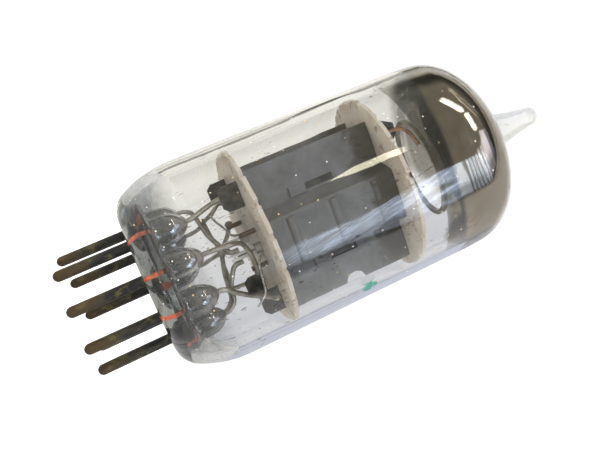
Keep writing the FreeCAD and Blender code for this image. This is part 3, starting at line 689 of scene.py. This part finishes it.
def glass_material():
    """Clear glass in the wall that turns dark where it is thick, in the stem, and is clearest at the tip."""
    material, nodes, out = new_material("tube_glass")
    height = nodes.split(nodes.place())[2]
    share = nodes.times(nodes.smooth(height, DOME_TOP + 0.2 * MM, DOME_TOP + 1.6 * MM), 0.7)
    body = nodes.blend(share, glass_parts(nodes), nodes.transparent())
    return finish_glass(material, nodes, out, body, (0.93, 0.93, 0.93))


def coated_glass_material():
    """The inside of the dome, where the getter film lies on the glass."""
    material, nodes, out = new_material("coated_glass")
    film, cover = film_parts(nodes)
    both = nodes.blend(cover, glass_parts(nodes), film)
    return finish_glass(material, nodes, out, both, (0.75, 0.72, 0.68))


def bead_material():
    """The glass beads round the leads: dark, cloudy and very glossy."""
    material, nodes, out = new_material("bead_glass")
    place = nodes.place()
    clouds = nodes.noise(place, 900, 4.0, 0.6, 0.5)
    colour = nodes.ramp(clouds, *BEAD_CLOUDS)
    dark = nodes.add("ShaderNodeBsdfPrincipled", {"Base Color": colour, "Roughness": 0.04, "IOR": 4.0})
    both = nodes.blend(0.65, glass_parts(nodes, 0.03), dark.outputs[0])
    return finish_glass(material, nodes, out, both, (0.8, 0.8, 0.8))


def mirror_material():
    """The film's own shell: faint, since the coated glass that it lies on already carries its look."""
    material, nodes, out = new_material("getter_film")
    film, cover = film_parts(nodes)
    nodes.link(nodes.blend(nodes.times(cover, 0.1), nodes.transparent(), film), out["Surface"])
    return material


def solid_surface(material, nodes, out, inputs):
    """Links an opaque surface with the given inputs."""
    nodes.link(nodes.add("ShaderNodeBsdfPrincipled", inputs).outputs[0], out["Surface"])
    return material


def pin_material():
    """Oxidised pins: olive-brown, black and blotched near the glass, tan towards the ends."""
    material, nodes, out = new_material("oxidised_pin")
    place = nodes.place()
    height = nodes.split(place)[2]
    along = nodes.smooth(height, -6.8 * MM, -0.6 * MM)
    blotch = nodes.noise(nodes.stretch(place, (900, 900, 420)), 1.0, 5.0, 0.6)
    fine = nodes.noise(nodes.stretch(place, (4200, 4200, 1500)), 1.0, 4.0)
    level = nodes.plus(nodes.times(along, 0.42), nodes.times(blotch, 0.9))
    colour = nodes.ramp(level, *PIN_TONES)
    moss = nodes.smooth(nodes.noise(nodes.stretch(place, (1500, 1500, 800)), 1.0, 3.0), 0.53, 0.66)
    colour = nodes.mix(nodes.times(moss, 0.6), colour, PIN_OLIVE)
    inputs = {
        "Base Color": colour,
        "Metallic": 0.4,
        "Roughness": nodes.plus(nodes.times(fine, 0.3), 0.28),
        "Normal": nodes.bump(fine, 0.35, 0.04 * MM),
    }
    return solid_surface(material, nodes, out, inputs)


def metal_material(name, colour, roughness, grain=2600.0, dark=0.6, metallic=1.0):
    """Drawn or rolled metal with fine mottling and dull patches."""
    material, nodes, out = new_material(name)
    place = nodes.place()
    patches = nodes.noise(place, grain / 3, 4.0)
    fine = nodes.noise(place, grain, 4.0, 0.65)
    shade = tuple(channel * dark for channel in colour)
    inputs = {
        "Base Color": nodes.mix(nodes.smooth(patches, 0.35, 0.65), shade, colour),
        "Metallic": metallic,
        "Roughness": nodes.plus(nodes.times(fine, 0.24), roughness - 0.1),
        "Normal": nodes.bump(fine, 0.25, 0.02 * MM),
    }
    return solid_surface(material, nodes, out, inputs)


def seal_wire_material():
    """Bright copper-red wire, which glows a little so that it shows through the thick glass."""
    material, nodes, out = new_material("copper_seal_wire")
    fine = nodes.noise(nodes.place(), 3000, 3.0)
    colour = nodes.ramp(fine, (0.35, COPPER_DARK), (0.65, COPPER_BRIGHT))
    inputs = {
        "Base Color": colour,
        "Metallic": 0.2,
        "Roughness": 0.4,
        "Emission Color": colour,
        "Emission Strength": 0.45,
        "Normal": nodes.bump(fine, 0.2, 0.02 * MM),
    }
    return solid_surface(material, nodes, out, inputs)


def anode_material():
    """Carbonised sheet: blue-grey, blotched, darker towards the upper mica and charcoal at the tabs."""
    material, nodes, out = new_material("carbonised_sheet")
    place = nodes.place()
    height = nodes.split(place)[2]
    mica_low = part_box("lower_mica_top_sheet")[1].z
    mica_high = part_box("upper_mica_under_sheet")[0].z
    clouds = nodes.noise(place, 420, 5.0, 0.6, 0.4)
    fine = nodes.noise(place, 4200, 4.0, 0.7)
    colour = nodes.ramp(clouds, *CARBON_CLOUDS)
    # Darker brown-black blotches towards the upper mica.
    top_blotches = nodes.times(nodes.noise(place, 900, 5.0, 0.7), 1.1)
    top_dark_level = nodes.plus(nodes.smooth(height, mica_high - 6 * MM, mica_high), top_blotches)
    top_darkening = nodes.smooth(top_dark_level, 0.92, 1.35)
    colour = nodes.mix(nodes.times(top_darkening, 0.85), colour, TOP_END_BROWN)
    tab_tone = nodes.ramp(nodes.noise(place, 1100, 4.0), *TAB_TONES)
    above_tabs = nodes.smooth(height, mica_low - 0.3 * MM, mica_low)
    colour = nodes.mix(nodes.minus(1.0, above_tabs), colour, tab_tone)
    inputs = {
        "Base Color": colour,
        "Metallic": 0.35,
        "Roughness": nodes.plus(nodes.times(fine, 0.25), 0.42),
        "Normal": nodes.bump(nodes.plus(fine, clouds), 0.22, 0.05 * MM),
    }
    return solid_surface(material, nodes, out, inputs)


def mica_material():
    """Split mica: cream to tan, cloudy, with pale cracks that run out to the rim and brown stains."""
    material, nodes, out = new_material("split_mica")
    place = nodes.place()
    x, y, z = nodes.split(place)
    flat = nodes.stretch(place, (1, 1, 0))
    radius = nodes.add("ShaderNodeVectorMath", {0: flat}, operation="LENGTH").outputs["Value"]
    angle = nodes.math("ARCTAN2", y, x)
    parts = {0: nodes.times(angle, 9.0), 1: nodes.times(radius, 260.0), 2: nodes.times(z, 900.0)}
    polar = nodes.add("ShaderNodeCombineXYZ", parts).outputs[0]
    streak = nodes.noise(polar, 2.2, 5.0, 0.65)
    clouds = nodes.noise(place, 330, 4.0)
    stain = nodes.smooth(nodes.noise(place, 1000, 3.0), 0.60, 0.68)
    colour = nodes.ramp(clouds, *MICA_CLOUDS)
    colour = nodes.mix(nodes.smooth(streak, 0.52, 0.66), colour, MICA_CRACK)
    colour = nodes.mix(nodes.times(stain, 0.6), colour, MICA_STAIN)
    inputs = {"Base Color": colour, "Roughness": 0.35, "Normal": nodes.bump(streak, 0.5, 0.1 * MM)}
    surface = nodes.add("ShaderNodeBsdfPrincipled", inputs)
    glow = nodes.add("ShaderNodeBsdfTranslucent", {"Color": colour})
    body = nodes.blend(0.45, surface.outputs[0], glow.outputs[0])
    nodes.link(nodes.blend(0.3, body, nodes.transparent(*MICA_TINT)), out["Surface"])
    return material


def powder_material(name, colour):
    """A sprayed white coating."""
    material, nodes, out = new_material(name)
    fine = nodes.noise(nodes.place(), 5200, 5.0, 0.7)
    shade = tuple(channel * 0.86 for channel in colour)
    inputs = {
        "Base Color": nodes.mix(fine, shade, colour),
        "Roughness": 0.9,
        "Normal": nodes.bump(fine, 0.5, 0.03 * MM),
    }
    return solid_surface(material, nodes, out, inputs)


def give(material, *names):
    """Gives the material to every CAD node whose name starts with one of the names."""
    for node_name, node in NODES.items():
        if node_name.startswith(names):
            node.data.materials.clear()
            node.data.materials.append(material)


def dress_nodes():
    """Gives every CAD node that stays visible its material."""
    give(pin_material(), "pin_")
    give(seal_wire_material(), "seal_wires")
    give(mica_material(), "lower_mica", "upper_mica")
    give(anode_material(), "anode_")
    for name, colour, roughness, targets in (
        ("nickel_lead", (0.42, 0.395, 0.35), 0.36, ("lead_",)),
        ("nickel_strap", (0.62, 0.60, 0.56), 0.26, ("cathode_front_strap", "cathode_rear_strap")),
        ("fine_link", (0.40, 0.38, 0.35), 0.3, ("heater_link",)),
        ("grid_wire", (0.55, 0.47, 0.36), 0.3, ("grid_front_winding", "grid_rear_winding")),
        ("grid_rod", (0.17, 0.125, 0.095), 0.4, ("grid_front_rods", "grid_rear_rods")),
        ("cathode_nickel", (0.50, 0.49, 0.47), 0.35, ("cathode_front_sleeve", "cathode_rear_sleeve")),
        ("getter_support", (0.66, 0.36, 0.22), 0.3, ("getter_support",)),
    ):
        give(metal_material(name, colour, roughness), *targets)
    give(metal_material("getter_channel", (0.50, 0.46, 0.36), 0.3, metallic=0.5), "getter_ring")
    give(metal_material("getter_tag", (0.10, 0.105, 0.115), 0.45, dark=0.4), "getter_tag")
    coating = powder_material("oxide_coating", (0.82, 0.81, 0.78))
    give(coating, "cathode_front_coating", "cathode_rear_coating")
    give(powder_material("heater_coating", (0.86, 0.85, 0.83)), "heater_front", "heater_rear")


def ragged_rims():
    """Small uneven shifts of the micas' teeth, so that no two are alike."""
    texture = bpy.data.textures.new("mica_rim_noise", "CLOUDS")
    texture.noise_scale = 0.9 * MM
    texture.noise_depth = 1
    for name, node in NODES.items():
        if "_mica_" in name:
            shift = node.modifiers.new("uneven_rim", "DISPLACE")
            shift.texture = texture
            shift.texture_coords = "GLOBAL"
            shift.direction = "RGB_TO_XYZ"
            shift.mid_level = 0.5
            shift.strength = 0.12 * MM


# ------------------------------------------------------------------ studio


FLOOR_HALF = 1.5
FLOOR_GLOW = 0.78

# Light from each part of the room that the glass and the film reflect. 1 is white.
WARM_SIDE = (1.02, 0.995, 0.91)
COOL_SIDE = (0.60, 0.625, 0.715)
CEILING = (1.45, 1.45, 1.42)
TABLE_TOP = (0.92, 0.90, 0.87)
ROOM_NEAR_TABLE = (0.08, 0.076, 0.062)
ROOM_BEYOND = (0.48, 0.46, 0.39)
DARK_EDGE = (0.03, 0.035, 0.03)
DAYLIGHT = (0.80, 0.96, 1.22)
UPPER_DAYLIGHT = (2.0, 2.05, 2.5)
LAMPLIGHT = (15.0, 14.0, 12.0)
SUNLIGHT = (15.0, 14.2, 10.5)
# The direction from the tube down into the table.
TABLE_DOWN = (0.67, 0.74, 0.03)
# Each lamp's first and last azimuth, elevation at the first, rise per degree and half width, and its light.
LAMPS = (
    ((-77.0, -53.0, 31.4, 0.19, 0.95), LAMPLIGHT),
    ((-48.0, -25.0, 37.2, 0.05, 1.7), LAMPLIGHT),
    ((-88.0, -68.0, 35.8, 0.28, 1.4), (3.2, 2.9, 2.3)),
    ((-70.0, -50.0, 41.0, 1.0, 3.5), (1.3, 1.2, 0.95)),
)

KEY_SIZE = (0.22, 0.16)
KEY_ENERGY = 0.55
KEY_COLOUR = (1.0, 0.985, 0.96)
KEY_PLACE = Vector((-0.16, -0.20, 0.17))

CAMERA_PLACE = Vector((-15.225, -62.594, 1.07)) * MM
CAMERA_RIGHT = Vector((0.3418, -0.3068, 0.8883))
CAMERA_UP = Vector((-0.9085, 0.1342, 0.3959))
CAMERA_FORWARD = Vector((0.2406, 0.9423, 0.2329))
# In millimetres, as Blender takes them.
SENSOR_WIDTH = 36.0
LENS = 38.38


def build_floor():
    """A wide pale floor under the pins, which glows to the camera to stay as pale as the backdrop."""
    mesh = bpy.data.meshes.new("studio_floor")
    signs = ((-1, -1), (1, -1), (1, 1), (-1, 1))
    corners = [(x * FLOOR_HALF, y * FLOOR_HALF, CAD_BOX[0].z) for x, y in signs]
    mesh.from_pydata(corners, [], [(0, 1, 2, 3)])
    floor = bpy.data.objects.new("studio_floor", mesh)
    bpy.context.scene.collection.objects.link(floor)
    material, nodes, out = new_material("pale_floor")
    grain = nodes.noise(nodes.place(), 90, 3.0)
    colour = nodes.ramp(grain, (0.3, (0.80, 0.80, 0.80)), (0.7, (0.83, 0.83, 0.83)))
    diffuse = nodes.add("ShaderNodeBsdfDiffuse", {"Color": colour})
    glow = nodes.add("ShaderNodeEmission", {"Color": (1, 1, 1, 1), "Strength": FLOOR_GLOW})
    path = nodes.add("ShaderNodeLightPath").outputs
    lit = nodes.add("ShaderNodeAddShader", {0: diffuse.outputs[0], 1: glow.outputs[0]})
    seen = nodes.blend(path["Is Camera Ray"], diffuse.outputs[0], lit.outputs[0])
    nodes.link(seen, out["Surface"])
    mesh.materials.append(material)


def patch(nodes, azimuth, elevation, low_az, high_az, low_el, high_el, soft):
    """A soft-edged window in the studio, as a mask between the given angles in degrees."""
    edges = (
        nodes.smooth(azimuth, low_az - soft, low_az + soft),
        nodes.smooth(azimuth, high_az + soft, high_az - soft),
        nodes.smooth(elevation, low_el - soft, low_el + soft),
        nodes.smooth(elevation, high_el + soft, high_el - soft),
    )
    mask = edges[0]
    for edge in edges[1:]:
        mask = nodes.times(mask, edge)
    return mask


def dimmed(nodes, amount, depth):
    """1 where the amount is 0, and less by the depth where it is 1."""
    return nodes.minus(1.0, nodes.times(amount, depth))


def blind(nodes, elevation):
    """The share of light that gets past the slats of a blind, which hangs at the top of the window."""
    slats = nodes.smooth(nodes.math("SINE", nodes.times(elevation, 4.6)), 0.0, 0.6)
    lowered = nodes.times(nodes.smooth(elevation, 28.2, 29.0), nodes.smooth(elevation, 39.0, 37.5))
    return dimmed(nodes, nodes.times(slats, lowered), 0.85)


def window_light(nodes, azimuth, elevation):
    """The tall window: bright, streaked with cloud, wider towards its top, and barred there like a blind."""
    drawn_back = nodes.times(nodes.smooth(elevation, 17.5, 27.5), 9.0)
    left = nodes.minus(nodes.plus(azimuth, drawn_back), 12.5)
    widening = nodes.times(nodes.smooth(elevation, 12.0, 25.0), 11.5)
    right = nodes.minus(nodes.plus(widening, 32.0), azimuth)
    mask = nodes.times(nodes.smooth(left, -1.2, 1.2), nodes.smooth(right, -1.6, 1.6))
    mask = nodes.times(mask, nodes.smooth(elevation, 40.0, 36.0))
    across = nodes.plus(nodes.times(azimuth, 0.42), nodes.times(elevation, 0.9))
    along = nodes.minus(nodes.times(azimuth, 0.12), nodes.times(elevation, 0.05))
    slanted = nodes.add("ShaderNodeCombineXYZ", {0: across, 1: along}).outputs[0]
    streaks = nodes.smooth(nodes.noise(slanted, 1.0, 4.0, 0.6, 0.6), 0.46, 0.62)
    broad = nodes.smooth(nodes.noise(slanted, 0.2, 3.0), 0.34, 0.6)
    level = nodes.plus(nodes.times(streaks, 5.0), nodes.times(broad, 3.0))
    level = nodes.plus(level, 1.0)
    even = nodes.smooth(elevation, 26.8, 28.2)
    level = nodes.plus(nodes.times(level, nodes.minus(1.0, even)), nodes.times(even, 3.2))
    dusk = dimmed(nodes, nodes.smooth(azimuth, 24.0, 35.0), 0.6)
    high = dimmed(nodes, nodes.smooth(elevation, 27.0, 30.0), 0.2)
    for factor in (blind(nodes, elevation), nodes.smooth(elevation, 8.0, 17.0), dusk, high, mask):
        level = nodes.times(level, factor)
    return level


def upper_window(nodes, azimuth, elevation):
    """The window's upper panes, above a slanting edge, darker on one side."""
    mask = patch(nodes, azimuth, elevation, -23.0, 38.0, 34.0, 60.0, 1.5)
    mask = nodes.times(mask, blind(nodes, elevation))
    floor = nodes.minus(elevation, nodes.minus(34.6, nodes.times(azimuth, 0.4)))
    dusk = dimmed(nodes, nodes.smooth(azimuth, 4.0, 26.0), 0.75)
    mask = nodes.times(mask, nodes.smooth(floor, -1.0, 1.0))
    return nodes.times(mask, dusk)


def slanting_lamp(nodes, azimuth, elevation, low_az, high_az, start, rate, width):
    """A long lamp between two azimuths that rises by rate degrees for each degree of azimuth."""
    level = nodes.plus(start, slope(nodes, azimuth, low_az, rate))
    distance = nodes.math("ABSOLUTE", nodes.minus(elevation, level))
    ends = patch(nodes, azimuth, elevation, low_az, high_az, -90.0, 90.0, 1.5)
    return nodes.times(ends, nodes.smooth(distance, width, 0.6 * width))


def wedge_light(nodes, azimuth, elevation):
    """A thin bright wedge that widens upwards, like sun past a curtain."""
    spread = nodes.math("MINIMUM", nodes.times(nodes.minus(elevation, 17.2), 1.4), 3.8)
    offset = nodes.math("ABSOLUTE", nodes.plus(azimuth, 36.8))
    inside = nodes.smooth(nodes.minus(spread, offset), -0.5, 0.8)
    return nodes.times(inside, nodes.smooth(elevation, 24.4, 23.6))


def build_world():
    """White to the camera. To everything else it is a room with a white table and a few windows.

    Azimuth is 0 towards -Y and grows towards +X.
    """
    world = bpy.data.worlds.new("soft_studio")
    bpy.context.scene.world = world
    world.use_nodes = True
    nodes = Nodes(world.node_tree)
    direction = nodes.add("ShaderNodeTexCoord").outputs["Generated"]
    x, y, z = nodes.split(direction)
    to_degrees = 180 / math.pi
    azimuth = nodes.times(nodes.math("ARCTAN2", x, nodes.times(y, -1.0)), to_degrees)
    elevation = nodes.times(nodes.math("ARCSINE", z), to_degrees)
    backdrop = nodes.mix(nodes.smooth(x, -0.15, 0.6), WARM_SIDE, COOL_SIDE)
    raised = nodes.mix(nodes.smooth(elevation, 24.0, 40.0), backdrop, CEILING)
    table = nodes.mix(nodes.smooth(y, 0.2, 0.5), TABLE_TOP, raised)
    below = nodes.dot(direction, TABLE_DOWN)
    room = nodes.mix(nodes.smooth(below, -0.24, -0.46), ROOM_NEAR_TABLE, ROOM_BEYOND)
    colour = nodes.mix(nodes.smooth(below, -0.05, 0.02), room, table)
    dark_edges = (
        (patch(nodes, azimuth, elevation, -158.0, -150.0, -40.0, 60.0, 1.2), 0.95),
        (patch(nodes, azimuth, elevation, 116.0, 121.0, -40.0, 60.0, 2.0), 0.35),
    )
    for edge, depth in dark_edges:
        colour = nodes.mix(nodes.times(edge, depth), colour, DARK_EDGE)
    lights = [
        (window_light(nodes, azimuth, elevation), DAYLIGHT),
        (upper_window(nodes, azimuth, elevation), UPPER_DAYLIGHT),
    ]
    lights += [(slanting_lamp(nodes, azimuth, elevation, *lamp), light) for lamp, light in LAMPS]
    lights.append((wedge_light(nodes, azimuth, elevation), SUNLIGHT))
    for mask, tint in lights:
        scaled = nodes.add("ShaderNodeVectorMath", {0: tint, "Scale": mask}, operation="SCALE").outputs[0]
        colour = nodes.add("ShaderNodeVectorMath", {0: colour, 1: scaled}, operation="ADD").outputs[0]
    studio = nodes.add("ShaderNodeBackground", {"Color": colour, "Strength": 1.0})
    white = nodes.add("ShaderNodeBackground", {"Color": (1, 1, 1, 1), "Strength": 1.05})
    path = nodes.add("ShaderNodeLightPath").outputs
    both = nodes.blend(path["Is Camera Ray"], studio.outputs[0], white.outputs[0])
    output = nodes.add("ShaderNodeOutputWorld")
    nodes.link(both, output.inputs["Surface"])


def build_lights():
    """One soft key light, above and behind the camera. The glass shows the room instead of it."""
    light = bpy.data.lights.new("soft_key", "AREA")
    light.shape = "RECTANGLE"
    light.size, light.size_y = KEY_SIZE
    light.energy = KEY_ENERGY
    light.color = KEY_COLOUR
    key = bpy.data.objects.new("soft_key", light)
    key.visible_glossy = False
    key.visible_transmission = False
    bpy.context.scene.collection.objects.link(key)
    key.location = KEY_PLACE
    aim = Vector((0, 0, 0.5 * CAD_BOX[1].z)) - key.location
    key.rotation_euler = aim.to_track_quat("-Z", "Y").to_euler()


def build_camera():
    """The photograph's camera, as solved from the pin tips and the bulb's outline."""
    data = bpy.data.cameras.new("camera")
    data.sensor_width = SENSOR_WIDTH
    data.lens = LENS
    data.clip_start = 0.002
    data.clip_end = 10.0
    camera = bpy.data.objects.new("camera", data)
    turn = Matrix((CAMERA_RIGHT, CAMERA_UP, -CAMERA_FORWARD)).transposed().to_4x4()
    camera.matrix_world = Matrix.Translation(CAMERA_PLACE) @ turn
    bpy.context.scene.collection.objects.link(camera)
    bpy.context.scene.camera = camera


def set_render_looks():
    """Plain colours, enough bounces for nested glass, no caustics, and denoising."""
    scene = bpy.context.scene
    scene.view_settings.view_transform = "Standard"
    scene.view_settings.look = "None"
    scene.cycles.max_bounces = 24
    scene.cycles.transmission_bounces = 24
    scene.cycles.transparent_max_bounces = 32
    scene.cycles.glossy_bounces = 10
    scene.cycles.diffuse_bounces = 4
    scene.cycles.caustics_reflective = False
    scene.cycles.caustics_refractive = False
    scene.cycles.use_denoising = True
    scene.cycles.denoiser = "OPENIMAGEDENOISE"


dress_nodes()
ragged_rims()
build_envelope()
build_getter_mirror()
build_welds()
for mica, seed in (("lower_mica", 3), ("upper_mica", 8)):
    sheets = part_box(f"{mica}_under_sheet")[0].z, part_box(f"{mica}_top_sheet")[1].z
    build_mica_splinters(mica, *sheets, seed)
build_floor()
build_world()
build_lights()
build_camera()
set_render_looks()
